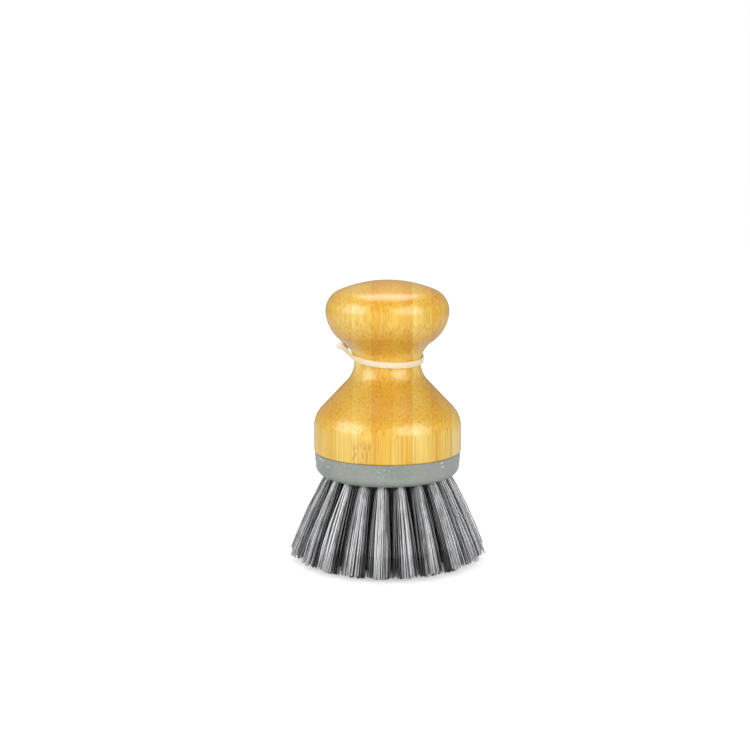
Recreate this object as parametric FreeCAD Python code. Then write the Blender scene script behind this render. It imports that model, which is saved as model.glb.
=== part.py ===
import FreeCAD, Part
import math
import os

from FreeCAD import Vector

# A palm dish brush: a turned bamboo knob handle, a moulded plate screwed under it, three rings of
# splayed bristle tufts stapled into the plate, and an elastic hanging loop round the neck.
# Millimetres and degrees. +Z is up, the bristle tips stand at Z 0 and the front is towards -Y.

# Bamboo handle: collar, shoulder, hollow neck and mushroom knob
COLLAR_DIAMETER = 52.0
COLLAR_HEIGHT = 8.5
COLLAR_EDGE_ROUND = 0.8
SHOULDER_RADIUS = 10.0
FLARE_ANGLE = 43.5
NECK_DIAMETER = 23.5
NECK_TO_KNOB = 18.3
KNOB_DIAMETER = 43.0
KNOB_UNDER_RADIUS = 13.0
KNOB_RIM_RADIUS = 7.7
KNOB_CROWN_RISE = 2.8

# Moulded bristle plate
PLATE_HEIGHT = 8.2
PLATE_SETBACK = 0.3
PLATE_DRAFT = 4.0
PLATE_BOTTOM_ROUND = 3.2
PLATE_TOP_CHAMFER = 0.3
SPIGOT_DIAMETER = 30.0
SPIGOT_HEIGHT = 3.0
SPIGOT_CLEARANCE = 0.15

# Countersunk screw that holds the plate to the handle
SCREW_HEAD_DIAMETER = 8.0
SCREW_HEAD_RIM = 0.5
SCREW_SHANK_DIAMETER = 4.0
SCREW_LENGTH = 26.0
SCREW_POINT_LENGTH = 4.0
SCREW_INSET = 0.3
SCREW_SLOT_SPAN = 4.4
SCREW_SLOT_WIDTH = 1.0
SCREW_SLOT_DEPTH = 1.5
SCREW_CLEARANCE = 0.15
PILOT_CLEARANCE = 0.05

# Bristle tufts, in rings round the screw
BRISTLE_REACH = 29.9
RING_NAMES = ("inner", "middle", "outer")
INNER_RING_TUFTS = 7
TUFTS_ADDED_PER_RING = 7
RING_EDGE_MARGIN = 5.9
RING_SPACING = 6.2
OUTER_SPLAY_ANGLE = 22.5
FRONT_TUFT_ANGLE = -5.2
HOLE_DIAMETER = 4.2
HOLE_FLOOR = 2.8
TUFT_CLEARANCE = 0.15
TUFT_TIP_DIAMETER = 7.5
TUFT_FLUTES = 6
FLUTE_SHARE = 0.86
REST_FLAT = 0.5

# Flat wire anchors that hold the folded tufts in their holes
ANCHOR_THICKNESS = 0.4
ANCHOR_HEIGHT = 1.5
ANCHOR_BITE = 0.45
ANCHOR_FLOOR_GAP = 1.0
ANCHOR_CLEARANCE = 0.05

# Elastic hanging loop and the bead that closes it
LOOP_WIDTH = 2.1
LOOP_THICKNESS = 0.9
LOOP_CLEARANCE = 0.25
LOOP_LOW_ANGLE = 3.9
LOOP_HIGH_ANGLE = 24.4
LOOP_RISE_ANGLE = 30.0
LOOP_TAIL = 7.1
LOOP_DIRECTION_ANGLE = 145.0
BEAD_DIAMETER = 3.0
BEAD_LENGTH = 3.8
BEAD_CLEARANCE = 0.05

# Counts and margins of the method, not of the brush
UP = Vector(0, 0, 1)
FULL_TURN = 360.0
QUARTER_TURN = 90.0
HALF_TURN = 180.0
SAME_POINT = 1e-6
CUT_MARGIN = 1.0

# Levels along the axis
PLATE_BASE = BRISTLE_REACH
HANDLE_BASE = PLATE_BASE + PLATE_HEIGHT
SCREW_BASE = PLATE_BASE + SCREW_INSET

# Radii, and the hollow of the neck that runs smoothly into the flare below and the knob above
COLLAR_R = COLLAR_DIAMETER / 2
NECK_R = NECK_DIAMETER / 2
KNOB_R = KNOB_DIAMETER / 2
PLATE_R = COLLAR_R - PLATE_SETBACK
UNDER_CENTRE_R = KNOB_R - KNOB_UNDER_RADIUS
NECK_OVERHANG = NECK_R - UNDER_CENTRE_R
COVE_RADIUS = (NECK_OVERHANG**2 + NECK_TO_KNOB**2 - KNOB_UNDER_RADIUS**2) / (
    2 * (KNOB_UNDER_RADIUS - NECK_OVERHANG)
)
COVE_CENTRE_R = NECK_R + COVE_RADIUS
FLARE = math.radians(FLARE_ANGLE)
FLARE_TOP_R = NECK_R + COVE_RADIUS * (1 - math.cos(FLARE))
FLARE_BOTTOM_R = COLLAR_R - SHOULDER_RADIUS * (1 - math.cos(FLARE))
FLARE_HEIGHT = (FLARE_BOTTOM_R - FLARE_TOP_R) / math.tan(FLARE)
COLLAR_TOP = HANDLE_BASE + COLLAR_HEIGHT
NECK_LEVEL = COLLAR_TOP + (SHOULDER_RADIUS + COVE_RADIUS) * math.sin(FLARE) + FLARE_HEIGHT
KNOB_LEVEL = NECK_LEVEL + NECK_TO_KNOB
KNOB_TOP = KNOB_LEVEL + KNOB_RIM_RADIUS + KNOB_CROWN_RISE


def point(radius, height):
    return Vector(radius, 0, height)


def arc(centre, radius, start, end):
    """Start, middle and end of an arc in a turned profile, at angles measured from outward."""
    points = []
    for angle in (start, (start + end) / 2, end):
        turn = math.radians(angle)
        points.append(centre + point(radius * math.cos(turn), radius * math.sin(turn)))
    return points


def outline_face(stretches):
    """Flat face inside points and arcs that are joined in order by straight lines."""
    edges = []
    for index, stretch in enumerate(stretches):
        following = stretches[(index + 1) % len(stretches)]
        if len(stretch) > 1:
            edges.append(Part.Arc(*stretch).toShape())
        if stretch[-1].distanceToPoint(following[0]) > SAME_POINT:
            edges.append(Part.LineSegment(stretch[-1], following[0]).toShape())
    return Part.Face(Part.Wire(edges))


def turned(*stretches):
    return outline_face(stretches).revolve(Vector(), UP, FULL_TURN)


def screw_body(gap, head_drop):
    """The screw's turned form, widened all round by a gap, with its head drawn down by a drop."""
    head = SCREW_HEAD_DIAMETER / 2 + gap
    shank = SCREW_SHANK_DIAMETER / 2 + gap
    rim_level = SCREW_BASE + SCREW_HEAD_RIM
    tip_level = SCREW_BASE + SCREW_LENGTH + gap
    return turned(
        [point(0, SCREW_BASE - head_drop)],
        [point(head, SCREW_BASE - head_drop)],
        [point(head, rim_level)],
        [point(shank, rim_level + head - shank)],
        [point(shank, tip_level - SCREW_POINT_LENGTH)],
        [point(0, tip_level)],
    )


def handle_screw():
    """Countersunk wood screw with a cross recess in its head."""
    screw = screw_body(0, 0)
    for turn in (0, QUARTER_TURN):
        slot = Part.makeBox(
            SCREW_SLOT_SPAN,
            SCREW_SLOT_WIDTH,
            SCREW_SLOT_DEPTH + CUT_MARGIN,
            Vector(-SCREW_SLOT_SPAN / 2, -SCREW_SLOT_WIDTH / 2, SCREW_BASE - CUT_MARGIN),
        )
        screw = screw.cut(slot.rotate(Vector(), UP, turn))
    return screw


def bamboo_handle():
    under_centre = point(UNDER_CENTRE_R, KNOB_LEVEL)
    cove_centre = point(COVE_CENTRE_R, NECK_LEVEL)
    rim_centre = point(KNOB_R - KNOB_RIM_RADIUS, KNOB_LEVEL)
    crown_depth = KNOB_RIM_RADIUS + KNOB_CROWN_RISE
    crown_radius = (rim_centre.x**2 + crown_depth**2 - KNOB_RIM_RADIUS**2) / (2 * KNOB_CROWN_RISE)
    crown_centre = point(0, KNOB_TOP - crown_radius)
    cove_to_under = math.degrees(math.atan2(NECK_LEVEL - KNOB_LEVEL, COVE_CENTRE_R - UNDER_CENTRE_R))
    rim_to_crown = math.degrees(math.atan2(KNOB_LEVEL - crown_centre.z, rim_centre.x))
    edge_centre = point(COLLAR_R - COLLAR_EDGE_ROUND, HANDLE_BASE + COLLAR_EDGE_ROUND)
    shoulder_centre = point(COLLAR_R - SHOULDER_RADIUS, COLLAR_TOP)
    body = turned(
        [point(0, HANDLE_BASE)],
        arc(edge_centre, COLLAR_EDGE_ROUND, -QUARTER_TURN, 0),
        arc(shoulder_centre, SHOULDER_RADIUS, 0, FLARE_ANGLE),
        arc(cove_centre, COVE_RADIUS, HALF_TURN + FLARE_ANGLE, HALF_TURN + cove_to_under),
        arc(under_centre, KNOB_UNDER_RADIUS, cove_to_under, 0),
        arc(rim_centre, KNOB_RIM_RADIUS, 0, rim_to_crown),
        arc(crown_centre, crown_radius, rim_to_crown, QUARTER_TURN),
    )
    recess = Part.makeCylinder(
        SPIGOT_DIAMETER / 2 + SPIGOT_CLEARANCE,
        SPIGOT_HEIGHT + SPIGOT_CLEARANCE,
        Vector(0, 0, HANDLE_BASE),
    )
    return body.cut(recess).cut(screw_body(PILOT_CLEARANCE, 0))


def ring_values():
    """For each ring from the inside: its name, its radius, its number of tufts and its splay."""
    outer_radius = PLATE_R - RING_EDGE_MARGIN
    values = []
    for index, name in enumerate(RING_NAMES):
        radius = outer_radius - RING_SPACING * (len(RING_NAMES) - 1 - index)
        tufts = INNER_RING_TUFTS + TUFTS_ADDED_PER_RING * index
        values.append((name, radius, tufts, OUTER_SPLAY_ANGLE * radius / outer_radius))
    return values


def ring_angles(tufts, index):
    """Turns of a ring's tufts from the front; every second ring is half a step round."""
    step = FULL_TURN / tufts
    rings_outside = len(RING_NAMES) - 1 - index
    first = FRONT_TUFT_ANGLE + step / 2 * (rings_outside % 2)
    return [first + step * place for place in range(tufts)]


def root_placement(radius, splay):
    """Frame at the plate's underside, in front: its Z runs down the tuft and its X up and outwards."""
    lean = math.radians(splay)
    down = Vector(0, -math.sin(lean), -math.cos(lean))
    outward = Vector(0, -math.cos(lean), math.sin(lean))
    return FreeCAD.Placement(
        Vector(0, -radius, PLATE_BASE),
        FreeCAD.Rotation(outward, down.cross(outward), down, "ZXY"),
    )


def hole_depth(splay):
    lean = math.radians(splay)
    return (PLATE_HEIGHT - HOLE_FLOOR - HOLE_DIAMETER / 2 * math.sin(lean)) / math.cos(lean)


def tuft_length(splay):
    """From the plate to the square-cut tip, whose low edge then gets a small flat to stand on."""
    lean = math.radians(splay)
    tip_level = TUFT_TIP_DIAMETER / 2 * math.sin(lean) - REST_FLAT
    return (BRISTLE_REACH - tip_level) / math.cos(lean)


def fluted_section(radius, level):
    points = []
    for corner in range(2 * TUFT_FLUTES):
        turn = math.pi * corner / TUFT_FLUTES
        reach = radius * (FLUTE_SHARE if corner % 2 else 1)
        points.append(Vector(reach * math.cos(turn), reach * math.sin(turn), level))
    return points


def flat_face(points):
    return Part.Face(Part.makePolygon(points + points[:1]))


def flat_flanked(sections):
    """Solid through a row of similar sections, which leaves every flank between them flat."""
    faces = [flat_face(sections[0]), flat_face(sections[-1])]
    for lower, upper in zip(sections, sections[1:]):
        for corner in range(len(lower)):
            edge = (corner - 1, corner)
            faces.append(flat_face([lower[edge[0]], lower[edge[1]], upper[edge[1]], upper[edge[0]]]))
    return Part.makeSolid(Part.makeShell(faces))


def anchor_box(splay, gap, length):
    """The flat anchor across a hole, in the frame of the tuft's root, grown by a gap."""
    depth = hole_depth(splay)
    bottom = -depth + ANCHOR_FLOOR_GAP
    box = Part.makeBox(length, ANCHOR_THICKNESS + 2 * gap, ANCHOR_HEIGHT + 2 * gap)
    box.translate(Vector(-length / 2, -ANCHOR_THICKNESS / 2 - gap, bottom - gap))
    return box


def tuft(radius, splay):
    root_radius = HOLE_DIAMETER / 2 - TUFT_CLEARANCE
    length = tuft_length(splay)
    bundle = flat_flanked(
        [
            fluted_section(root_radius, TUFT_CLEARANCE - hole_depth(splay)),
            fluted_section(root_radius, 0),
            fluted_section(TUFT_TIP_DIAMETER / 2, length),
        ]
    )
    bundle = bundle.cut(anchor_box(splay, ANCHOR_CLEARANCE, HOLE_DIAMETER))
    bundle.Placement = root_placement(radius, splay)
    reach = radius + BRISTLE_REACH + TUFT_TIP_DIAMETER
    floor = Part.makeBox(2 * reach, 2 * reach, reach, Vector(-reach, -reach, -reach))
    return bundle.cut(floor)


def tuft_hole(radius, splay):
    depth = hole_depth(splay)
    hole = Part.makeCylinder(HOLE_DIAMETER / 2, depth + HOLE_DIAMETER, Vector(0, 0, -depth))
    hole.Placement = root_placement(radius, splay)
    return hole


def tuft_anchor(radius, splay):
    anchor = anchor_box(splay, 0, HOLE_DIAMETER + 2 * ANCHOR_BITE)
    anchor.Placement = root_placement(radius, splay).multiply(anchor.Placement)
    return anchor


def turned_copies(shape, angles):
    copies = []
    for angle in angles:
        copies.append(shape.copy().rotate(Vector(), UP, angle))
    return copies


def bristle_plate(holes):
    draft = math.radians(PLATE_DRAFT)
    round_level = PLATE_BASE + PLATE_BOTTOM_ROUND
    round_r = PLATE_R - (HANDLE_BASE - round_level) * math.tan(draft) - PLATE_BOTTOM_ROUND / math.cos(draft)
    chamfer_level = HANDLE_BASE - PLATE_TOP_CHAMFER
    chamfer_r = PLATE_R - PLATE_TOP_CHAMFER * math.tan(draft)
    spigot_top = HANDLE_BASE + SPIGOT_HEIGHT
    plate = turned(
        [point(0, PLATE_BASE)],
        arc(point(round_r, round_level), PLATE_BOTTOM_ROUND, -QUARTER_TURN, -PLATE_DRAFT),
        [point(chamfer_r, chamfer_level)],
        [point(PLATE_R - PLATE_TOP_CHAMFER, HANDLE_BASE)],
        [point(SPIGOT_DIAMETER / 2, HANDLE_BASE)],
        [point(SPIGOT_DIAMETER / 2, spigot_top)],
        [point(0, spigot_top)],
    )
    return plate.cut(holes + [screw_body(SCREW_CLEARANCE, SCREW_INSET + CUT_MARGIN)])


def loop_seat(angle):
    """Where the loop's inside stands, at an angle up the hollow neck: its reach and its height."""
    height = COVE_RADIUS * math.sin(math.radians(angle))
    upper_edge = height + LOOP_WIDTH / 2
    reach = COVE_CENTRE_R - math.sqrt(COVE_RADIUS**2 - upper_edge**2) + LOOP_CLEARANCE
    return reach, height


def loop_frame():
    """The loop's plane, tilted between its low and high seats with +X to the bead, and its radius."""
    low_reach, low_height = loop_seat(LOOP_LOW_ANGLE)
    high_reach, high_height = loop_seat(LOOP_HIGH_ANGLE)
    span = low_reach + high_reach
    climb = high_height - low_height
    middle = Vector(0, (high_reach - low_reach) / 2, NECK_LEVEL + (low_height + high_height) / 2)
    tilt = FreeCAD.Rotation(Vector(1, 0, 0), math.degrees(math.atan2(climb, span)))
    to_bead = FreeCAD.Rotation(UP, LOOP_DIRECTION_ANGLE - LOOP_RISE_ANGLE)
    seats = FreeCAD.Placement(middle, tilt.multiply(to_bead))
    turn = FreeCAD.Placement(Vector(), FreeCAD.Rotation(UP, LOOP_RISE_ANGLE))
    return turn.multiply(seats), math.hypot(span, climb) / 2


def teardrop(radius, reach):
    """Solid in the loop's plane: round the neck, then straight on both sides to a point on +X."""
    tangent = math.acos(radius / reach)
    side = Vector(radius * math.cos(tangent), radius * math.sin(tangent), 0)
    other_side = Vector(side.x, -side.y, 0)
    face = outline_face([[side, Vector(-radius, 0, 0), other_side], [Vector(reach, 0, 0)]])
    face.translate(Vector(0, 0, -LOOP_WIDTH / 2))
    return face.extrude(Vector(0, 0, LOOP_WIDTH))


def bead(gap, reach):
    """A rounded bead lying along +X of the loop's plane, grown by a gap."""
    radius = BEAD_DIAMETER / 2 + gap
    half_straight = (BEAD_LENGTH - BEAD_DIAMETER) / 2
    capsule = turned(
        arc(point(0, -half_straight), radius, -QUARTER_TURN, 0),
        arc(point(0, half_straight), radius, 0, QUARTER_TURN),
    )
    return capsule.rotate(Vector(), Vector(0, 1, 0), QUARTER_TURN).translate(Vector(reach, 0, 0))


def elastic_loop():
    placement, inner = loop_frame()
    middle = inner + LOOP_THICKNESS / 2
    outer = inner + LOOP_THICKNESS
    reach = inner + LOOP_TAIL
    loop = teardrop(outer, reach * outer / middle).cut(teardrop(inner, reach * inner / middle))
    loop = loop.cut(bead(BEAD_CLEARANCE, reach))
    loop.Placement = placement
    return loop


def loop_bead():
    placement, inner = loop_frame()
    closing_bead = bead(0, inner + LOOP_TAIL)
    closing_bead.Placement = placement.multiply(closing_bead.Placement)
    return closing_bead


def brush_nodes():
    """Every separate piece of the brush under its name."""
    nodes = {"bamboo_handle": bamboo_handle(), "handle_screw": handle_screw()}
    holes = []
    anchors = []
    for index, (name, radius, tufts, splay) in enumerate(ring_values()):
        angles = ring_angles(tufts, index)
        holes += turned_copies(tuft_hole(radius, splay), angles)
        anchors += turned_copies(tuft_anchor(radius, splay), angles)
        for place, copy in enumerate(turned_copies(tuft(radius, splay), angles)):
            nodes[f"{name}_tuft_{place + 1:02d}"] = copy
    nodes["bristle_plate"] = bristle_plate(holes)
    nodes["tuft_anchors"] = Part.makeCompound(anchors)
    nodes["elastic_loop"] = elastic_loop()
    nodes["loop_bead"] = loop_bead()
    return nodes


os.makedirs("parts", exist_ok=True)
for node_name, shape in brush_nodes().items():
    shape.exportStep(f"parts/{node_name}.step")
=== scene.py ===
import math
import random

import bmesh
import bpy
import numpy as np
from mathutils import Matrix, Vector


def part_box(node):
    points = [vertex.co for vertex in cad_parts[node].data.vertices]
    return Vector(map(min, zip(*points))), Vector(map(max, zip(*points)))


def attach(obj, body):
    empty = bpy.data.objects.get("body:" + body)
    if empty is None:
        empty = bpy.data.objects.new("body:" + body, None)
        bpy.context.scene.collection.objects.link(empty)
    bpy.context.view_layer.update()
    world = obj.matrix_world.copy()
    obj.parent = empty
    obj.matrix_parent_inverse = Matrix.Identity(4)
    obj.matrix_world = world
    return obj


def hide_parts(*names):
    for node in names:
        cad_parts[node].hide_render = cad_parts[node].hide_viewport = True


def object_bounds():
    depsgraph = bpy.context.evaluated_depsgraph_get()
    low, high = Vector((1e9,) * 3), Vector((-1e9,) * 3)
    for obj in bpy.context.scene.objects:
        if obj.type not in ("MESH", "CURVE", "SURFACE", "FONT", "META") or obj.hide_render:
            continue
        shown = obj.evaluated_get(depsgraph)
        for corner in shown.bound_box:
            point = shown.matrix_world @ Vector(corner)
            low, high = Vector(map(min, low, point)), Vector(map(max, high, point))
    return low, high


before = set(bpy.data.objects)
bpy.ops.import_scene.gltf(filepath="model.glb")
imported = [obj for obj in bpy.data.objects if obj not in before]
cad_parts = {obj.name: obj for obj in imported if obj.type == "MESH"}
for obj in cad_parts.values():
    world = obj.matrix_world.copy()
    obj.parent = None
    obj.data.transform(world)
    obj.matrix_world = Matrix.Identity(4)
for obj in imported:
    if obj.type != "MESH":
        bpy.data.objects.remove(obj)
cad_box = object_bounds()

# A palm dish brush in metres: bamboo knob handle, grey plate, nylon tufts and an elastic loop.
# The front is towards -Y and the bristle tips stand on Z 0.
MM = 0.001

# Camera, fitted to the photograph's outline
PHOTO_PIXELS = 750
SENSOR_WIDTH = 36.0
FOCAL_PIXELS = 1296.4
CAMERA_DISTANCE = 447.9 * MM
CAMERA_HEIGHT = 136.7 * MM
CAMERA_YAW = -0.0097
CAMERA_PITCH = 0.1593
CAMERA_ROLL = 0.0024
NEAREST_SEEN = 10 * MM

# Rings of tufts under the plate, each with the painted shade at its root and at its tip
RING_NAMES = ("inner", "middle", "outer")
# Painted shade: the inner rings and every root are darker than the outer tips
RING_PAINTED_SHADES = ((-0.1, 0.42), (-0.1, 0.35), (0.36, 0.6))
RING_PAINTED_SHADE_POWER = 3
RING_EDGE_MARGIN = 5.9 * MM
RING_SPACING = 6.2 * MM
OUTER_SPLAY = math.radians(22.5)
FRONT_TUFT_ANGLE = math.radians(-5.2)
TUFT_SEED = 11

# Filaments of a tuft: their places, ends and bends
FILAMENTS_PER_TUFT = 60
FILAMENT_RADIUS = 0.2 * MM
FILAMENT_SIDES = 6
GOLDEN_TURN = math.pi * (3 - math.sqrt(5))
ROOT_RADIUS = 1.86 * MM
TIP_RADIUS = 3.65 * MM
SQUARE_TIP_RADIUS = 3.75 * MM
REST_FLAT = 0.5 * MM
FLARE_POWER = 0.85
STATIONS = (-0.1, 0.0, 0.22, 0.48, 0.75, 1.0)
SIDE_SPREAD = 1.25
SIDE_DRIFT = 0.4 * MM
TIP_JITTER = 0.16 * MM
STRAY_SHARE = 0.1
STRAY_JITTER = 0.9 * MM
BOW = 0.16 * MM
OUTWARD_BOW = 0.5 * MM
LENGTH_JITTER = 0.35 * MM
LONGEST_OVER = 0.3 * MM
END_ROUND = 0.8 * MM
LOWEST_TIP = 0.03 * MM

# Clumps in which the filaments of a tuft gather at its tip
CLUMPS = 5
CLUMP_REACH = 0.85
CLUMP_PULL = 0.35
CLUMP_LENGTH_JITTER = 0.4 * MM

# Shades of a tuft: random tone, painted light on its outer face and painted shade at its sides
TUFT_SHADE = 0.05
FILAMENT_SHADE = 0.22
BLOTCH_SHADE = 0.15
OUTWARD_PAINTED_LIGHT = 0.65
PAINTED_LIGHT_FACE_EDGE = 0.5
SIDEWAYS_PAINTED_SHADE = 1.6
SIDEWAYS_PAINTED_SHADE_POWER = 3

# Elastic loop and its seat on the handle
LOOP_WIDTH = 2.1 * MM
LOOP_THICKNESS = 0.85 * MM
LOOP_GAP = 0.12 * MM
LOOP_STEP = math.radians(2.0)
TAIL_STEPS = 14
SETTLING_STEPS = 6
NECK_SHARES = (0.3, 0.8)
BORE_LIMIT = 6.3 * MM

# Section and braid of the elastic
SECTION_POINTS = 28
SECTION_EDGE_POWER = 0.6
SECTION_FACE_POWER = 0.5
LOOP_RIBS = 5
RIB_HEIGHT = 0.07
BRAID_STRANDS = 7.5
BRAID_SLANT = 1.6
BRAID_TURNS = 9.0

# Laminated bamboo: strips side by side in layers from front to back, lengths in millimetres
STRIP_PITCH = 6.8
STRIP_OFFSET = 1.5
STRIP_TONES = (0.42, 0.5, 0.72, 0.22, 0.36, 0.66, 0.34, 0.7)
STRIP_SKIN_SIDES = (1.0, 0.0, 1.0, 0.0, 1.0, 1.0, 0.0, 1.0)
FIRST_STRIP = 4.5
LAYER_DEPTH = 17.0
LAYER_STRIPS_SHIFT = 0.43
LAYER_STRIPS_SKIPPED = 3.0
TONE_SWING = 0.14
GLUE_LINE = 0.09
GLUE_CORE = 0.25
GLUE_STRENGTH = 0.35

# Patterns: cells in a millimetre along each axis
BAMBOO_CLOUD_CELLS = (0.09, 0.09, 0.04)
BUNDLE_CELLS = (1.15, 1.15, 0.012)
LINE_CELLS = (1.5, 1.5, 0.02)
PALE_CELLS = (1.7, 1.7, 0.016)
KNOT_CELLS = (1.3, 1.3, 0.3)
PLATE_CLOUD_CELLS = (0.09, 0.09, 0.14)
PLATE_GRAIN_CELLS = (1.6, 1.6, 1.6)
FLECK_CELLS = (0.6, 0.6, 0.9)
FLECK_CROWD_CELLS = (0.12, 0.12, 0.12)
BLOTCH_CELLS = (0.5, 0.5, 0.12)
DRAW_LINE_CELLS = (6.0, 6.0, 0.5)
DIRT_CELLS = (0.6, 0.6, 0.6)
MOTTLE_CELLS = (0.7, 0.7, 0.7)
SCREW_SCRATCH_CELLS = (0.6, 4.0, 0.6)
ANCHOR_SCRATCH_CELLS = (0.8, 0.8, 5.0)

# Patterns: the values between which a mark comes up, and how strongly it shows
NOISE_RANGE = (0.3, 0.7)
BUNDLE_EDGE = (0.42, 0.1)
BUNDLE_STRENGTH = 0.9
CROWDING_EDGE = (0.05, 0.7)
CROWDING = (1.0, 0.3)
LINE_EDGE = (0.51, 0.65)
LINE_STRENGTH = 0.76
PALE_EDGE = (0.54, 0.72)
PALE_STRENGTH = 0.4
FIBRE_STRENGTH = 0.56
END_GRAIN_EDGE = (0.1, 0.75)
KNOT_EDGE = (0.46, 0.62)
KNOT_STRENGTHS = (0.08, 0.7)
PLATE_GRAIN_EDGE = (0.4, 0.75)
PLATE_GRAIN_STRENGTH = 0.25
FLECK_EDGE = (0.66, 0.7)
FLECK_CROWD_EDGE = (0.42, 0.54)
FURROW_SHADE_EDGE = (0.6, 0.0)
DIRT_EDGE = (0.4, 0.8)
DIRT_STRENGTH = 0.3

# Borders of the knotty stretch of bamboo and of the plate's flecks, in millimetres
KNOT_LEFT = (-12.1, -11.9)
KNOT_RIGHT = (-5.3, -5.5)
KNOT_TOP = (48.0, 43.0)
KNOT_BACK = (-18.0, -20.0)
FLECK_BOTTOM = (34.6, 36.2)

# Skin of the handle
JOIN_DISTANCE = 0.002 * MM
SHARP_EDGE = math.radians(30)

# Floor: how far from the brush its painted shadow ends and its glow grows, in millimetres
PAINTED_SHADOW_DISTANCES = (18.0, 34.0)
GLOW_DISTANCES = (90.0, 240.0)
GLOW_STRENGTHS = (0.58, 0.92)

# Stage: floor, lights and surround
FLOOR_REACH = 3.0
LIGHT_DISTANCE = 0.6
LIGHT_AIM = (0, 0, 0.06)
SOFTBOX_SIZE = (0.5, 0.36)
TOP_SIZE = (0.5, 0.42)
FILL_SIZE = (0.6, 0.12)
BACK_FILL_SIZE = (0.6, 0.4)
DIFFUSE_SURROUND = 0.2
GLOSSY_SURROUND = 0.1

# Places taken from the solids
plate_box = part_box("bristle_plate")
underside = plate_box[0].z
widest = min(abs(side) for corner in cad_box for side in corner[:2])


def srgb(red, green, blue):
    """A colour given in screen values from 0 to 255, as the linear colour that a shader takes."""
    linear = []
    for value in (red, green, blue):
        share = value / 255
        linear.append(share / 12.92 if share <= 0.04045 else ((share + 0.055) / 1.055) ** 2.4)
    return (*linear, 1.0)


# Colours
WHITE = (1, 1, 1, 1)
FLOOR_GREY = (0.5, 0.5, 0.5, 1)
BAMBOO_DEEP = srgb(233, 174, 50)
BAMBOO_MIDDLE = srgb(240, 193, 68)
BAMBOO_PALE = srgb(248, 219, 124)
FIBRE_BROWN = srgb(188, 118, 26)
FIBRE_PALE = srgb(253, 231, 142)
END_GRAIN_TINT = (0.86, 0.74, 0.4, 1.0)
GLUE_BROWN = srgb(172, 108, 34)
KNOT_BROWN = srgb(200, 128, 36)
PLATE_GREENISH = srgb(136, 149, 140)
PLATE_GREY = srgb(154, 159, 151)
PLATE_BLUISH = srgb(149, 151, 155)
PLATE_GRAIN = srgb(198, 203, 200)
PLATE_FLECK = srgb(226, 229, 228)
NYLON_DARK = srgb(12, 12, 14)
NYLON_MIDDLE = srgb(76, 77, 79)
NYLON_LIGHT = srgb(212, 213, 216)
ELASTIC_WHITE = srgb(245, 229, 195)
ELASTIC_FURROW_SHADE = srgb(238, 219, 182)
ELASTIC_DIRT = srgb(238, 222, 190)
BEAD_DULL = srgb(244, 238, 224)
BEAD_WHITE = srgb(253, 250, 243)
STEEL_DARK = srgb(150, 150, 150)
STEEL_LIGHT = srgb(205, 206, 208)


class Finish:
    """A node material being made: its calls add nodes, and most give back an output to use."""

    def __init__(self, name, values):
        self.material = bpy.data.materials.new(name)
        self.material.use_nodes = True
        self.nodes = self.material.node_tree.nodes
        self.links = self.material.node_tree.links
        self.surface = self.nodes["Principled BSDF"]
        for socket, value in values.items():
            self.surface.inputs[socket].default_value = value

    def add(self, kind, inputs, output=0, **settings):
        made = self.nodes.new(kind)
        for key, value in settings.items():
            setattr(made, key, value)
        for socket, value in inputs.items():
            if isinstance(value, bpy.types.NodeSocket):
                self.links.new(value, made.inputs[socket])
            else:
                made.inputs[socket].default_value = value
        return made.outputs[output]

    def math(self, operation, first, second=0.0):
        return self.add("ShaderNodeMath", {0: first, 1: second}, operation=operation)

    def mix(self, factor, first, second, blend="MIX"):
        inputs = {0: factor, 6: first, 7: second}
        return self.add("ShaderNodeMix", inputs, output=2, data_type="RGBA", blend_type=blend)

    def ramp(self, factor, stops, interpolation="LINEAR"):
        """Colours or greys at given positions of a factor."""
        output = self.add("ShaderNodeValToRGB", {0: factor})
        band = output.node.color_ramp
        band.interpolation = interpolation
        while len(band.elements) < len(stops):
            band.elements.new(1.0)
        for element, (position, value) in zip(band.elements, stops):
            element.position = position
            element.color = value if isinstance(value, tuple) else (value, value, value, 1.0)
        return output

    def span(self, value, low, high, to_low=0.0, to_high=1.0):
        """A smooth step from one range of values to another."""
        inputs = {0: value, 1: low, 2: high, 3: to_low, 4: to_high}
        return self.add("ShaderNodeMapRange", inputs, interpolation_type="SMOOTHSTEP")

    def place(self, stretch=(1.0, 1.0, 1.0)):
        """The point on the object in millimetres, each axis multiplied by a stretch."""
        spot = self.add("ShaderNodeTexCoord", {}, output=3)
        scale = tuple(share / MM for share in stretch)
        return self.add("ShaderNodeMapping", {"Vector": spot, "Scale": scale})

    def axes(self):
        """The three coordinates of the point on the object, in millimetres."""
        return self.add("ShaderNodeSeparateXYZ", {0: self.place()}).node.outputs

    def noise(self, cells, detail=2.0, roughness=0.5, distortion=0.0):
        """A noise with so many cells in a millimetre along each axis."""
        inputs = {"Vector": self.place(cells), "Scale": 1.0, "Detail": detail}
        inputs.update({"Roughness": roughness, "Distortion": distortion})
        return self.add("ShaderNodeTexNoise", inputs)

    def attribute(self, name):
        return self.add("ShaderNodeAttribute", {}, output=2, attribute_name=name)

    def bump(self, height, strength, depth):
        inputs = {"Height": height, "Strength": strength, "Distance": depth}
        self.join(self.add("ShaderNodeBump", inputs), "Normal")

    def join(self, output, socket):
        self.links.new(output, self.surface.inputs[socket])


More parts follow.
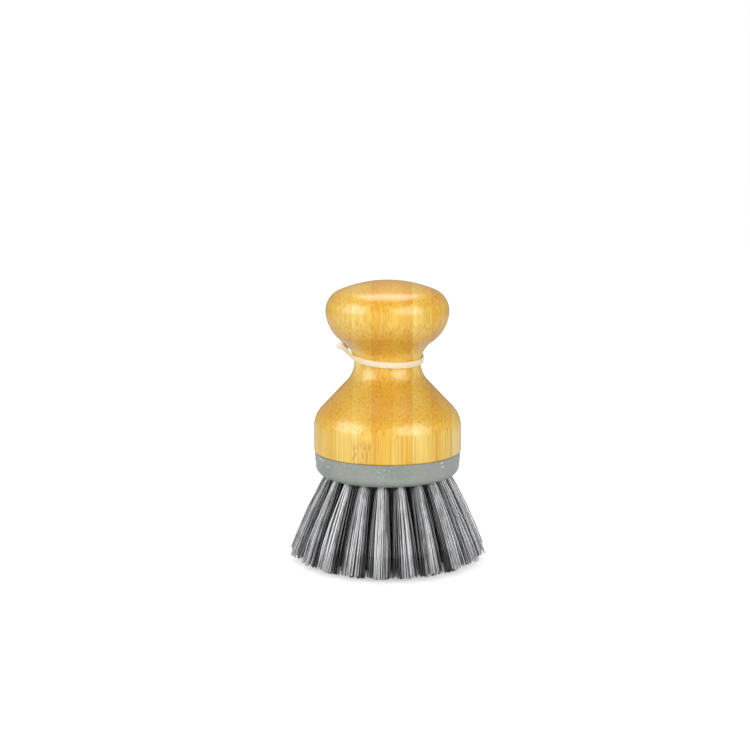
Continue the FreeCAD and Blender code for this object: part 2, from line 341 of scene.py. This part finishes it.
def bamboo():
    """Upright laminated strips with darker fibre bundles, glue lines and a satin lacquer."""
    lacquer = {"Coat Weight": 1.0, "Coat Roughness": 0.26, "Coat IOR": 1.58}
    finish = Finish("bamboo", {"Specular IOR Level": 0.32, **lacquer})
    axes = finish.axes()
    layers = finish.math("DIVIDE", axes[1], LAYER_DEPTH)
    behind = finish.math("MAXIMUM", finish.math("ADD", finish.math("FLOOR", layers), 1.0), 0.0)
    strips = finish.math("DIVIDE", finish.math("SUBTRACT", axes[0], STRIP_OFFSET), STRIP_PITCH)
    strips = finish.math("ADD", strips, finish.math("MULTIPLY", behind, LAYER_STRIPS_SHIFT))
    strip = finish.math("ADD", finish.math("FLOOR", strips), FIRST_STRIP)
    strip = finish.math("ADD", strip, finish.math("MULTIPLY", behind, LAYER_STRIPS_SKIPPED))
    strip = finish.math("FRACT", finish.math("DIVIDE", strip, len(STRIP_TONES)))
    across = finish.math("FRACT", strips)
    skin_side = finish.ramp(strip, strip_stops(STRIP_SKIN_SIDES), "CONSTANT")
    from_skin = finish.math("ABSOLUTE", finish.math("SUBTRACT", across, skin_side))

    colour = strip_colour(finish, strip, from_skin)
    fibre = fibre_marks(finish, from_skin)
    colour = finish.mix(finish.math("MULTIPLY", fibre, FIBRE_STRENGTH), colour, FIBRE_BROWN)
    pale = finish.span(finish.noise(PALE_CELLS, detail=1.0), *PALE_EDGE)
    colour = finish.mix(finish.math("MULTIPLY", pale, PALE_STRENGTH), colour, FIBRE_PALE)
    colour = finish.mix(end_grain(finish), colour, END_GRAIN_TINT, "MULTIPLY")
    layer_seam = seam(finish, finish.math("FRACT", layers), LAYER_DEPTH)
    glue = finish.math("MAXIMUM", seam(finish, across, STRIP_PITCH), layer_seam)
    colour = finish.mix(glue, colour, GLUE_BROWN)
    colour = finish.mix(knot_patch(finish, axes), colour, KNOT_BROWN)

    finish.join(colour, "Base Color")
    finish.join(finish.span(fibre, 0.0, 1.0, to_low=0.36, to_high=0.44), "Roughness")
    finish.bump(finish.math("SUBTRACT", 1.0, fibre), strength=0.06, depth=0.05 * MM)
    return finish.material


def strip_stops(values):
    """Ramp stops that give each strip its own value."""
    return [(index / len(values), value) for index, value in enumerate(values)]


def strip_colour(finish, strip, from_skin):
    """The tone of each strip, deeper towards its skin side and a little cloudy."""
    tone = finish.ramp(strip, strip_stops(STRIP_TONES), "CONSTANT")
    tone = finish.math("ADD", tone, finish.span(from_skin, 0.0, 0.9, -TONE_SWING, TONE_SWING))
    cloud = finish.noise(BAMBOO_CLOUD_CELLS)
    tone = finish.math("ADD", tone, finish.span(cloud, *NOISE_RANGE, -TONE_SWING, TONE_SWING))
    return finish.ramp(tone, [(0.0, BAMBOO_DEEP), (0.45, BAMBOO_MIDDLE), (1.0, BAMBOO_PALE)])


def fibre_marks(finish, from_skin):
    """Fibre bundles, crowded at the skin side of a strip, and fine lines between them."""
    cells = {"Vector": finish.place(BUNDLE_CELLS), "Scale": 1.0, "Randomness": 1.0}
    bundles = finish.add("ShaderNodeTexVoronoi", cells)
    crowding = finish.span(from_skin, *CROWDING_EDGE, *CROWDING)
    dots = finish.span(bundles, *BUNDLE_EDGE, to_high=BUNDLE_STRENGTH)
    lines = finish.span(finish.noise(LINE_CELLS, roughness=0.6), *LINE_EDGE)
    lines = finish.math("MULTIPLY", lines, LINE_STRENGTH)
    return finish.math("MAXIMUM", finish.math("MULTIPLY", dots, crowding), lines)


def end_grain(finish):
    """How far the surface turns up or down, where the fibres are cut across."""
    facing = finish.add("ShaderNodeTexCoord", {}, output=1)
    rise = finish.math("ABSOLUTE", finish.add("ShaderNodeSeparateXYZ", {0: facing}, output=2))
    return finish.span(rise, *END_GRAIN_EDGE)


def seam(finish, share, pitch):
    """A thin line where a share of a pitch starts again."""
    edge = finish.math("MINIMUM", share, finish.math("SUBTRACT", 1.0, share))
    line = GLUE_LINE / pitch
    return finish.span(edge, line * GLUE_CORE, line, to_low=GLUE_STRENGTH, to_high=0.0)


def knot_patch(finish, axes):
    """A knotty stretch of one strip, low on the collar to the left of the front."""
    dashes = finish.noise(KNOT_CELLS, detail=3.0, roughness=0.6, distortion=0.4)
    patch = finish.span(dashes, *KNOT_EDGE, *KNOT_STRENGTHS)
    for axis, edge in ((0, KNOT_LEFT), (0, KNOT_RIGHT), (2, KNOT_TOP), (1, KNOT_BACK)):
        patch = finish.math("MULTIPLY", patch, finish.span(axes[axis], *edge))
    return patch


def plate_plastic():
    """Semi-gloss grey moulding with a faint cloudy tint and pale flecks near its upper edge."""
    values = {
        "Roughness": 0.28,
        "Specular IOR Level": 0.5,
        "Subsurface Weight": 0.15,
        "Subsurface Radius": (1.0, 1.0, 1.0),
        "Subsurface Scale": 1.2 * MM,
    }
    finish = Finish("plate_plastic", values)
    cloud = finish.noise(PLATE_CLOUD_CELLS, detail=3.0)
    tints = [(0.3, PLATE_GREENISH), (0.5, PLATE_GREY), (0.7, PLATE_BLUISH)]
    grain = finish.noise(PLATE_GRAIN_CELLS, detail=3.0)
    grainy = finish.span(grain, *PLATE_GRAIN_EDGE, to_high=PLATE_GRAIN_STRENGTH)
    colour = finish.mix(grainy, finish.ramp(cloud, tints), PLATE_GRAIN)
    spots = finish.span(finish.noise(FLECK_CELLS, detail=1.0, roughness=0.4), *FLECK_EDGE)
    crowd = finish.span(finish.noise(FLECK_CROWD_CELLS, detail=1.0), *FLECK_CROWD_EDGE)
    fleck = finish.math("MULTIPLY", spots, crowd)
    fleck = finish.math("MULTIPLY", fleck, finish.span(finish.axes()[2], *FLECK_BOTTOM))
    finish.join(finish.mix(fleck, colour, PLATE_FLECK), "Base Color")
    finish.bump(grain, strength=0.15, depth=0.03 * MM)
    return finish.material


def bristle_nylon():
    """Grey drawn filament: its own random tone with painted light and shade, a glossy skin, faint
    draw lines.
    """
    skin = {"Coat Weight": 1.0, "Coat Roughness": 0.3, "Coat IOR": 2.0}
    finish = Finish("bristle_nylon", {"Roughness": 0.3, "Specular IOR Level": 1.0, **skin})
    blotch = finish.noise(BLOTCH_CELLS)
    blotch = finish.span(blotch, *NOISE_RANGE, -BLOTCH_SHADE, BLOTCH_SHADE)
    # The shade attribute holds random tone with painted light and painted shade
    shade = finish.math("ADD", finish.attribute("shade"), blotch)
    greys = [(0.0, NYLON_DARK), (0.5, NYLON_MIDDLE), (1.0, NYLON_LIGHT)]
    finish.join(finish.ramp(shade, greys), "Base Color")
    finish.bump(finish.noise(DRAW_LINE_CELLS), strength=0.15, depth=0.02 * MM)
    return finish.material


def elastic_braid():
    """White braided elastic: slanting ribs cross the band's strands, painted shade in the furrows, a
    little dirt.
    """
    sheen = {"Sheen Weight": 0.35, "Sheen Roughness": 0.5}
    finish = Finish("elastic_braid", {"Roughness": 0.72, "Specular IOR Level": 0.3, **sheen})
    strands = finish.math("MULTIPLY", finish.attribute("across"), BRAID_STRANDS)
    wave = finish.math("ABSOLUTE", finish.math("SINE", strands))
    turns = finish.math("MULTIPLY", finish.attribute("along"), BRAID_TURNS)
    turns = finish.math("ADD", turns, finish.math("MULTIPLY", wave, BRAID_SLANT))
    ribs = finish.span(finish.math("SINE", turns), -1.0, 1.0)
    # Painted shade: the furrows between the ribs are coloured darker
    colour = finish.mix(finish.span(ribs, *FURROW_SHADE_EDGE), ELASTIC_WHITE, ELASTIC_FURROW_SHADE)
    dirt = finish.noise(DIRT_CELLS, detail=3.0)
    dirt = finish.span(dirt, *DIRT_EDGE, to_high=DIRT_STRENGTH)
    finish.join(finish.mix(dirt, colour, ELASTIC_DIRT), "Base Color")
    finish.bump(ribs, strength=0.3, depth=0.06 * MM)
    return finish.material


def bead_plastic():
    """Milky moulded bead with a faint mottling."""
    finish = Finish("bead_plastic", {"Roughness": 0.3, "Specular IOR Level": 0.5})
    mottle = finish.noise(MOTTLE_CELLS)
    finish.join(finish.ramp(mottle, [(0.3, BEAD_DULL), (0.7, BEAD_WHITE)]), "Base Color")
    finish.bump(mottle, strength=0.1, depth=0.03 * MM)
    return finish.material


def plated_steel(name, scratch_cells):
    """Zinc-plated steel with fine scratches."""
    finish = Finish(name, {"Metallic": 1.0})
    lines = finish.noise(scratch_cells, detail=3.0, roughness=0.6)
    finish.join(finish.ramp(lines, [(0.3, STEEL_DARK), (0.7, STEEL_LIGHT)]), "Base Color")
    finish.join(finish.span(lines, *NOISE_RANGE, to_low=0.28, to_high=0.45), "Roughness")
    finish.bump(lines, strength=0.15, depth=0.02 * MM)
    return finish.material


def add_piece(name, mesh, material):
    mesh.materials.append(material)
    piece = bpy.data.objects.new(name, mesh)
    bpy.context.scene.collection.objects.link(piece)
    return piece


def new_piece(name, points, faces, material):
    mesh = bpy.data.meshes.new(name)
    mesh.from_pydata(points, [], faces)
    return add_piece(name, mesh, material)


def point_values(mesh, name, values):
    mesh.attributes.new(name, "FLOAT", "POINT").data.foreach_set("value", values)


def tube_faces(rows, sides, first):
    """Faces of a closed tube of rows of points, with a cap at each end."""
    faces = []
    for row in range(rows - 1):
        for side in range(sides):
            low = first + row * sides
            high = low + sides
            following = (side + 1) % sides
            faces.append((low + side, low + following, high + following, high + side))
    last = first + (rows - 1) * sides
    faces.append(tuple(first + side for side in reversed(range(sides))))
    faces.append(tuple(last + side for side in range(sides)))
    return faces


def filament_spot(index):
    """Where a filament stands in its tuft, outward and sideways, in shares of the tuft's radius."""
    reach = math.sqrt((index + 0.5) / FILAMENTS_PER_TUFT)
    turn = index * GOLDEN_TURN
    return np.array([math.cos(turn), math.sin(turn)]) * reach


def filament_tone_with_painted_light(spot, tuft_shade, draw):
    """Random tone of a filament, with painted light on the tuft's face and painted shade at its
    sides.
    """
    # Painted light on the tuft's outer face, painted shade towards its sides
    face = OUTWARD_PAINTED_LIGHT * min(spot[0] / PAINTED_LIGHT_FACE_EDGE, 1.0)
    painted_light_and_shade = face - SIDEWAYS_PAINTED_SHADE * abs(spot[1]) ** SIDEWAYS_PAINTED_SHADE_POWER
    return draw.gauss(tuft_shade, FILAMENT_SHADE) + painted_light_and_shade


def ring_painted_shade(shades, station):
    """The painted shade that a ring adds at a station, darker at its root than at its tip."""
    root, tip = shades
    return root + (tip - root) * max(station, 0.0) ** RING_PAINTED_SHADE_POWER


def filament_line(spot, drift, clumps, length, splay, draw):
    """Centre line of one filament in its tuft's frame: outward, sideways and down the tuft."""
    clump = clumps[int(np.argmin(np.hypot(clumps[:, 0] - spot[0], clumps[:, 1] - spot[1])))]
    jitter = STRAY_JITTER if draw.random() < STRAY_SHARE else TIP_JITTER
    tip = (spot + (clump[:2] - spot) * CLUMP_PULL * draw.random()) * TIP_RADIUS
    tip = tip * [1.0, SIDE_SPREAD] + [draw.gauss(0, jitter), draw.gauss(drift, jitter)]
    root = spot * ROOT_RADIUS
    bow = np.array([draw.gauss(OUTWARD_BOW, BOW), draw.gauss(0, BOW)])
    over = min(clump[2] + draw.gauss(0, LENGTH_JITTER), LONGEST_OVER)
    end = length + over - END_ROUND * spot[1] ** 2
    level = underside - end * math.cos(splay) + (tip[0] - FILAMENT_RADIUS) * math.sin(splay)
    end -= max(0.0, LOWEST_TIP - level) / math.cos(splay)
    line = []
    for station in STATIONS:
        share = max(station, 0.0)
        spread = root + (tip - root) * share**FLARE_POWER + bow * math.sin(math.pi * share)
        line.append((*spread, end * station))
    return line


def clump_place(draw):
    """Where filaments gather at a tip, in shares of its radius, and how far they go past it."""
    outward = draw.uniform(-CLUMP_REACH, CLUMP_REACH)
    sideways = draw.uniform(-CLUMP_REACH, CLUMP_REACH)
    return outward, sideways, draw.gauss(0, CLUMP_LENGTH_JITTER)


def tuft(name, radius, angle, splay, ring_painted_shades, material, draw):
    """A tuft of separate filaments in place of its solid, splayed out from its hole."""
    lean = Matrix.Rotation(angle, 3, "Z")
    outward = lean @ Vector((0, -math.cos(splay), math.sin(splay)))
    sideways = lean @ Vector((1, 0, 0))
    down = lean @ Vector((0, -math.sin(splay), -math.cos(splay)))
    root = lean @ Vector((0, -radius, underside))
    length = (underside - SQUARE_TIP_RADIUS * math.sin(splay) + REST_FLAT) / math.cos(splay)
    clumps = np.array([clump_place(draw) for _ in range(CLUMPS)])
    drift = draw.gauss(0, SIDE_DRIFT)
    tuft_shade = draw.gauss(0, TUFT_SHADE)
    points = []
    faces = []
    shades = []
    for index in range(FILAMENTS_PER_TUFT):
        spot = filament_spot(index)
        # Random tone plus painted light on the outer face and painted shade at the sides
        tone_with_painted_light = filament_tone_with_painted_light(spot, tuft_shade, draw)
        faces += tube_faces(len(STATIONS), FILAMENT_SIDES, len(points))
        line = filament_line(spot, drift, clumps, length, splay, draw)
        for station, (across, along, depth) in zip(STATIONS, line):
            # The ring's painted shade, darkest at the root, is added at each station
            shades += [tone_with_painted_light + ring_painted_shade(ring_painted_shades, station)] * FILAMENT_SIDES
            middle = root + outward * across + sideways * along + down * depth
            middle.xy *= min(1.0, (widest - FILAMENT_RADIUS) / middle.xy.length)
            for side in range(FILAMENT_SIDES):
                turn = 2 * math.pi * side / FILAMENT_SIDES
                edge = outward * math.cos(turn) + sideways * math.sin(turn)
                points.append(middle + edge * FILAMENT_RADIUS)
    piece = new_piece(f"{name}_filaments", points, faces, material)
    smooth = [len(polygon.vertices) == 4 for polygon in piece.data.polygons]
    piece.data.polygons.foreach_set("use_smooth", smooth)
    point_values(piece.data, "shade", shades)
    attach(piece, "brush")
    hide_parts(name)


def all_tufts():
    """Every tuft of every ring; the rings are turned half a step against each other."""
    material = bristle_nylon()
    draw = random.Random(TUFT_SEED)
    outer_radius = plate_box[1].x - RING_EDGE_MARGIN
    for index, ring in enumerate(RING_NAMES):
        rings_outside = len(RING_NAMES) - 1 - index
        radius = outer_radius - RING_SPACING * rings_outside
        names = sorted(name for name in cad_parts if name.startswith(f"{ring}_tuft_"))
        step = 2 * math.pi / len(names)
        first = FRONT_TUFT_ANGLE + step / 2 * (rings_outside % 2)
        splay = OUTER_SPLAY * radius / outer_radius
        for place, name in enumerate(names):
            tuft(name, radius, first + step * place, splay, RING_PAINTED_SHADES[index], material, draw)


def neck_outline():
    """Heights and radii of the handle's outside from the shoulder to the knob, from its solid."""
    low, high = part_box("bamboo_handle")
    points = np.array([vertex.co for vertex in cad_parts["bamboo_handle"].data.vertices])
    heights = points[:, 2]
    radii = np.hypot(points[:, 0], points[:, 1])
    bottom, top = (low.z + share * (high.z - low.z) for share in NECK_SHARES)
    outside = (heights > bottom) & (heights < top) & (radii > BORE_LIMIT)
    order = np.argsort(heights[outside])
    return heights[outside][order], radii[outside][order]


class LoopPath:
    """The line that the elastic follows: round the hollow neck, then straight to the bead."""

    def __init__(self):
        self.heights, self.radii = neck_outline()
        points = np.array([vertex.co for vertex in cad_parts["elastic_loop"].data.vertices])
        self.middle = points.mean(axis=0)
        self.normal = np.linalg.svd(points - self.middle, full_matrices=False)[2][2]
        low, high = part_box("loop_bead")
        self.bead = (low + high) / 2

    def radius(self, height):
        neck = float(np.interp(height, self.heights, self.radii))
        return neck + LOOP_GAP + LOOP_THICKNESS / 2

    def level(self, x, y):
        """Height of the loop's plane, which is the plane of its solid."""
        slope = self.normal[0] * (x - self.middle[0]) + self.normal[1] * (y - self.middle[1])
        return self.middle[2] - slope / self.normal[2]

    def on_neck(self, angle):
        """Point of the middle line on the neck, and the way that the band faces there."""
        reach = 0.0
        for _ in range(SETTLING_STEPS):
            height = self.level(reach * math.cos(angle), reach * math.sin(angle))
            reach = self.radius(height)
        widening = self.radius(height + LOOP_WIDTH / 2) - self.radius(height - LOOP_WIDTH / 2)
        facing = Vector((math.cos(angle), math.sin(angle), -widening / LOOP_WIDTH)).normalized()
        return Vector((reach * math.cos(angle), reach * math.sin(angle), height)), facing

    def leaving(self, side):
        """Angle at which the band leaves the neck for the bead, on one side or the other."""
        towards = math.atan2(self.bead.y, self.bead.x)
        angle = towards + side
        for _ in range(SETTLING_STEPS):
            reach = self.on_neck(angle)[0].to_2d().length
            angle = towards + side * math.acos(reach / self.bead.to_2d().length)
        return angle

    def tail(self, angle):
        """Points from the neck to the bead; the band turns upright on its way."""
        start, facing = self.on_neck(angle)
        upright = Vector((math.cos(angle), math.sin(angle), 0))
        stretch = []
        for step in range(1, TAIL_STEPS + 1):
            share = step / TAIL_STEPS
            stretch.append((start.lerp(self.bead, share), facing.lerp(upright, share).normalized()))
        return stretch

    def stations(self):
        """Points of the whole line from the bead round the neck and back, and the band's facings."""
        start = self.leaving(1)
        end = self.leaving(-1) + 2 * math.pi
        count = round((end - start) / LOOP_STEP)
        ring = [self.on_neck(start + (end - start) * step / count) for step in range(count + 1)]
        return list(reversed(self.tail(start))) + ring + self.tail(end)


def band_section():
    """Outline of the band's section: across and out, with ribs along both broad faces."""
    outline = []
    for index in range(SECTION_POINTS):
        turn = 2 * math.pi * index / SECTION_POINTS
        across = math.copysign(abs(math.cos(turn)) ** SECTION_EDGE_POWER, math.cos(turn))
        out = math.copysign(abs(math.sin(turn)) ** SECTION_FACE_POWER, math.sin(turn))
        rib = 1 - RIB_HEIGHT + RIB_HEIGHT * math.cos(math.pi * LOOP_RIBS * across)
        outline.append((across, out * rib))
    return outline


def elastic_loop():
    """The ribbed band along its line, with how far along and across each point lies."""
    stations = LoopPath().stations()
    section = band_section()
    points = []
    along_values = []
    across_values = []
    travelled = 0.0
    for index, (middle, facing) in enumerate(stations):
        before = stations[max(index - 1, 0)][0]
        after = stations[min(index + 1, len(stations) - 1)][0]
        ahead = (after - before).normalized()
        wide = ahead.cross(facing).normalized()
        outwards = wide.cross(ahead).normalized()
        travelled += (middle - before).length
        for across, out in section:
            beside = middle + wide * across * LOOP_WIDTH / 2
            points.append(beside + outwards * out * LOOP_THICKNESS / 2)
            along_values.append(travelled / MM)
            across_values.append(across * LOOP_WIDTH / 2 / MM)
    faces = tube_faces(len(stations), SECTION_POINTS, 0)
    piece = new_piece("elastic_loop_band", points, faces, elastic_braid())
    piece.data.polygons.foreach_set("use_smooth", [True] * len(faces))
    point_values(piece.data, "along", along_values)
    point_values(piece.data, "across", across_values)
    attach(piece, "loop")
    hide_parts("elastic_loop")


def turned_handle():
    """The handle's own shape as one skin, so that the light runs on over its tangent faces."""
    skin = bmesh.new()
    skin.from_mesh(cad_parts["bamboo_handle"].data)
    bmesh.ops.remove_doubles(skin, verts=skin.verts, dist=JOIN_DISTANCE)
    for edge in skin.edges:
        edge.smooth = edge.calc_face_angle(0.0) < SHARP_EDGE
    for face in skin.faces:
        face.smooth = True
    mesh = bpy.data.meshes.new("turned_handle")
    skin.to_mesh(mesh)
    skin.free()
    piece = add_piece("turned_handle", mesh, bamboo())
    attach(piece, "brush")
    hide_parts("bamboo_handle")


def dress_solids():
    """The other rigid solids keep their shape and get their finish."""
    finishes = {
        "bristle_plate": plate_plastic(),
        "handle_screw": plated_steel("screw_steel", SCREW_SCRATCH_CELLS),
        "tuft_anchors": plated_steel("anchor_wire", ANCHOR_SCRATCH_CELLS),
        "loop_bead": bead_plastic(),
    }
    for name, material in finishes.items():
        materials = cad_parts[name].data.materials
        materials.clear()
        materials.append(material)


def floor():
    """A pale floor taking the brush's shadow, with a painted shadow under the brush, running out to
    plain white.
    """
    corners = [(-FLOOR_REACH, -FLOOR_REACH, 0), (FLOOR_REACH, -FLOOR_REACH, 0)]
    corners += [(FLOOR_REACH, FLOOR_REACH, 0), (-FLOOR_REACH, FLOOR_REACH, 0)]
    matt = {"Base Color": FLOOR_GREY, "Roughness": 0.9, "Specular IOR Level": 0.0}
    finish = Finish("floor", {**matt, "Emission Color": WHITE})
    spot = {0: finish.place()}
    distance = finish.add("ShaderNodeVectorMath", spot, output=1, operation="LENGTH")
    glow = finish.span(distance, *GLOW_DISTANCES, *GLOW_STRENGTHS)
    # Painted shadow: the glow that the camera sees is cut away under the brush
    glow = finish.math("MULTIPLY", glow, finish.span(distance, *PAINTED_SHADOW_DISTANCES))
    seen = finish.add("ShaderNodeLightPath", {}).node.outputs["Is Camera Ray"]
    finish.join(finish.math("MULTIPLY", seen, glow), "Emission Strength")
    new_piece("floor", corners, [(0, 1, 2, 3)], finish.material)


def softbox(name, azimuth, elevation, size, watts):
    """A soft rectangular light aimed at the brush; azimuths run from the front to the right."""
    turn = math.radians(azimuth)
    rise = math.radians(elevation)
    level = math.cos(rise)
    towards = Vector((math.sin(turn) * level, -math.cos(turn) * level, math.sin(rise)))
    lamp = bpy.data.lights.new(name, "AREA")
    lamp.shape = "RECTANGLE"
    lamp.size, lamp.size_y = size
    lamp.energy = watts
    light = bpy.data.objects.new(name, lamp)
    light.location = Vector(LIGHT_AIM) + towards * LIGHT_DISTANCE
    light.rotation_euler = (-towards).to_track_quat("-Z", "Y").to_euler()
    bpy.context.scene.collection.objects.link(light)
    return light


def fill(name, azimuth, elevation, size, watts):
    """A softbox that brightens a side and leaves no glint."""
    softbox(name, azimuth, elevation, size, watts).visible_glossy = False


def lighting():
    """Soft studio light: a softbox on each side, one overhead, and fills in front and behind."""
    softbox("left_softbox", azimuth=-64, elevation=24, size=SOFTBOX_SIZE, watts=1.66)
    softbox("right_softbox", azimuth=40, elevation=24, size=SOFTBOX_SIZE, watts=1.62)
    softbox("top_softbox", azimuth=180, elevation=78, size=TOP_SIZE, watts=2.35)
    fill("left_fill", azimuth=-30, elevation=4, size=FILL_SIZE, watts=0.8)
    fill("right_fill", azimuth=40, elevation=4, size=FILL_SIZE, watts=0.7)
    fill("left_back_fill", azimuth=-158, elevation=25, size=BACK_FILL_SIZE, watts=0.7)
    fill("right_back_fill", azimuth=158, elevation=25, size=BACK_FILL_SIZE, watts=0.7)


def surround():
    """A white surround: full where it is seen, fainter in glints and as light on the brush."""
    world = bpy.data.worlds.new("surround")
    world.use_nodes = True
    bpy.context.scene.world = world
    nodes = world.node_tree.nodes
    links = world.node_tree.links
    rays = nodes.new("ShaderNodeLightPath").outputs
    shine = nodes.new("ShaderNodeMath")
    shine.operation = "MULTIPLY"
    shine.inputs[1].default_value = GLOSSY_SURROUND
    links.new(rays["Is Glossy Ray"], shine.inputs[0])
    seen = shine.outputs[0]
    for ray in ("Is Camera Ray", "Is Transmission Ray"):
        either = nodes.new("ShaderNodeMath")
        either.operation = "MAXIMUM"
        links.new(seen, either.inputs[0])
        links.new(rays[ray], either.inputs[1])
        seen = either.outputs[0]
    strength = nodes.new("ShaderNodeMapRange")
    strength.inputs["To Min"].default_value = DIFFUSE_SURROUND
    strength.inputs["To Max"].default_value = 1.0
    links.new(seen, strength.inputs["Value"])
    background = nodes["Background"]
    background.inputs["Color"].default_value = WHITE
    links.new(strength.outputs[0], background.inputs["Strength"])


def camera():
    """The photograph's view, with no lens shift: the camera is turned a little off the brush."""
    eye = Vector((0, -CAMERA_DISTANCE, CAMERA_HEIGHT))
    level = math.cos(CAMERA_PITCH)
    across = math.sin(CAMERA_YAW) * level
    ahead = math.cos(CAMERA_YAW) * level
    forward = Vector((across, ahead, -math.sin(CAMERA_PITCH)))
    right = forward.cross(Vector((0, 0, 1))).normalized()
    up = right.cross(forward)
    turned_right = right * math.cos(CAMERA_ROLL) - up * math.sin(CAMERA_ROLL)
    turned_up = right * math.sin(CAMERA_ROLL) + up * math.cos(CAMERA_ROLL)
    lens = bpy.data.cameras.new("camera")
    lens.sensor_width = SENSOR_WIDTH
    lens.lens = FOCAL_PIXELS / PHOTO_PIXELS * SENSOR_WIDTH
    lens.clip_start = NEAREST_SEEN
    eye_object = bpy.data.objects.new("camera", lens)
    turn = Matrix((turned_right, turned_up, -forward)).transposed()
    eye_object.matrix_world = Matrix.Translation(eye) @ turn.to_4x4()
    bpy.context.scene.collection.objects.link(eye_object)
    bpy.context.scene.camera = eye_object


turned_handle()
dress_solids()
all_tufts()
elastic_loop()
floor()
lighting()
surround()
camera()
bpy.context.scene.view_settings.view_transform = "Standard"
